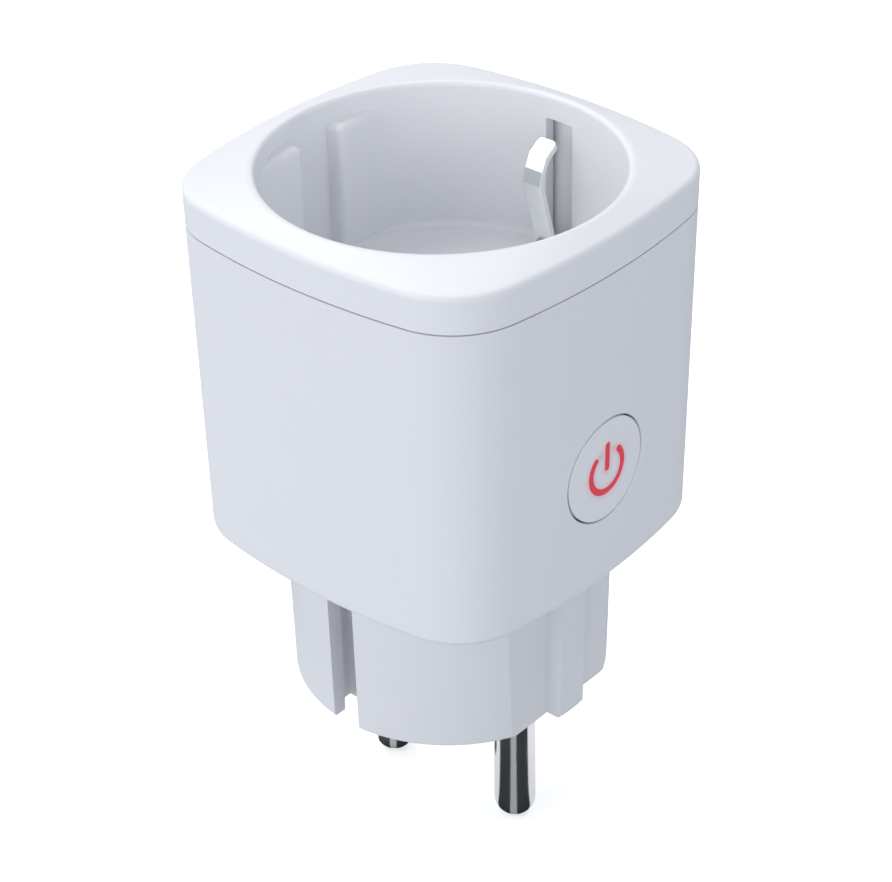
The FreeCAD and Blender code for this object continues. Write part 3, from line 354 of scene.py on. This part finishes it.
def floor_paper(name, colour, glow):
    """Matt paper that is seen from above only."""
    g = Graph(name)
    paper = g.noise(2 * MM, 3)
    g.finish(g.mix(paper, shade(colour, 0.98), shade(colour, 1.02)), g.spread(paper, 0.85, 0.95),
             g.bump(paper, 0.02 * MM), Emission_Color=(1, 1, 1, 1), Emission_Strength=glow)
    return from_above(g)


def make_floor():
    """A pale floor at the pins' tips for the camera, over a sheet that lights the object."""
    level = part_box("live_pin")[0].z
    floor = disc("floor", level, FLOOR_SIZE)
    floor.data.materials.append(floor_paper("floor_paper", (0.9, 0.9, 0.9), FLOOR_GLOW))
    floor.visible_diffuse = floor.visible_glossy = floor.visible_shadow = False
    bounce = disc("floor_bounce", level - BOUNCE_DROP, FLOOR_SIZE)
    bounce.data.materials.append(floor_paper("bounce_paper", BOUNCE, 0))
    bounce.visible_camera = False


def card_paint(name, tone, glow):
    """Matt card that is seen from above only, for the reflections in the pins."""
    g = Graph(name)
    wear = g.noise(2 * MM, 3)
    g.finish(g.mix(wear, shade(tone, 0.9), shade(tone, 1.1)), g.spread(wear, 0.8, 0.9),
             g.bump(wear, 0.01 * MM), Emission_Color=(1, 1, 1, 1), Emission_Strength=glow)
    return from_above(g)


def pin_cards():
    """Cards on the floor round each pin, dark and light in turn, seen only in reflections."""
    paints = [card_paint(*paint) for paint in CARD_PAPERS]
    for rank, (pin, reach) in enumerate(CARD_REACH.items()):
        low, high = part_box(pin)
        middle, level = (low + high) / 2, low.z + (1 + rank) * CARD_LIFT
        points, faces, kinds = [], [], []
        for start, end, kind in CARD_TURNS:
            steps = max(2, round((end - start) / CARD_STEP))
            base = len(points)
            turns = [math.radians(start + (end - start) * k / steps) for k in range(steps + 1)]
            points += [(middle.x + r * math.cos(t), middle.y + r * math.sin(t), level)
                       for t in turns for r in (CARD_START, reach)]
            faces += [(base + 2 * k, base + 2 * k + 1, base + 2 * k + 3, base + 2 * k + 2)
                      for k in range(steps)]
            kinds += [kind] * steps
        mesh = bpy.data.meshes.new(pin + "_cards")
        mesh.from_pydata(points, [], faces)
        for paint in paints:
            mesh.materials.append(paint)
        mesh.polygons.foreach_set("material_index", kinds)
        made = bpy.data.objects.new(pin + "_cards", mesh)
        bpy.context.scene.collection.objects.link(made)
        made.visible_camera = made.visible_diffuse = made.visible_shadow = False


def area_light(name, azimuth, elevation, size, power, colour):
    """A round lamp that way from the object and turned to it; azimuth 0 is +X and 90 is +Y."""
    a, e = math.radians(azimuth), math.radians(elevation)
    aim = Vector((0, 0, LIGHT_AIM))
    place = aim + LIGHT_DISTANCE * Vector(
        (math.cos(a) * math.cos(e), math.sin(a) * math.cos(e), math.sin(e)))
    light = bpy.data.lights.new(name, "AREA")
    light.shape, light.size, light.energy, light.color = "DISK", size, power, colour
    obj = bpy.data.objects.new(name, light)
    bpy.context.scene.collection.objects.link(obj)
    obj.location = place
    obj.rotation_mode = "QUATERNION"
    obj.rotation_quaternion = (aim - place).to_track_quat("-Z", "Y")
    obj.visible_camera = False


def make_world():
    """A pale studio all round: brightest from the horizon down, and dimmer overhead."""
    world = bpy.data.worlds.new("studio")
    bpy.context.scene.world = world
    world.use_nodes = True
    tree = world.node_tree
    where = tree.nodes.new("ShaderNodeTexCoord")
    split = tree.nodes.new("ShaderNodeSeparateXYZ")
    tree.links.new(where.outputs["Generated"], split.inputs[0])
    ramp = tree.nodes.new("ShaderNodeValToRGB")
    low, high = ramp.color_ramp.elements
    low.position, low.color = 0.0, (*SKY_LOW, 1)
    high.position, high.color = SKY_TOP, (*SKY_HIGH, 1)
    tree.links.new(split.outputs["Z"], ramp.inputs["Fac"])
    tree.links.new(ramp.outputs["Color"], tree.nodes["Background"].inputs["Color"])


make_floor()
pin_cards()
make_world()
for lamp, setting in LIGHTS.items():
    area_light(lamp, *setting)
bpy.context.scene.view_settings.view_transform = "Standard"
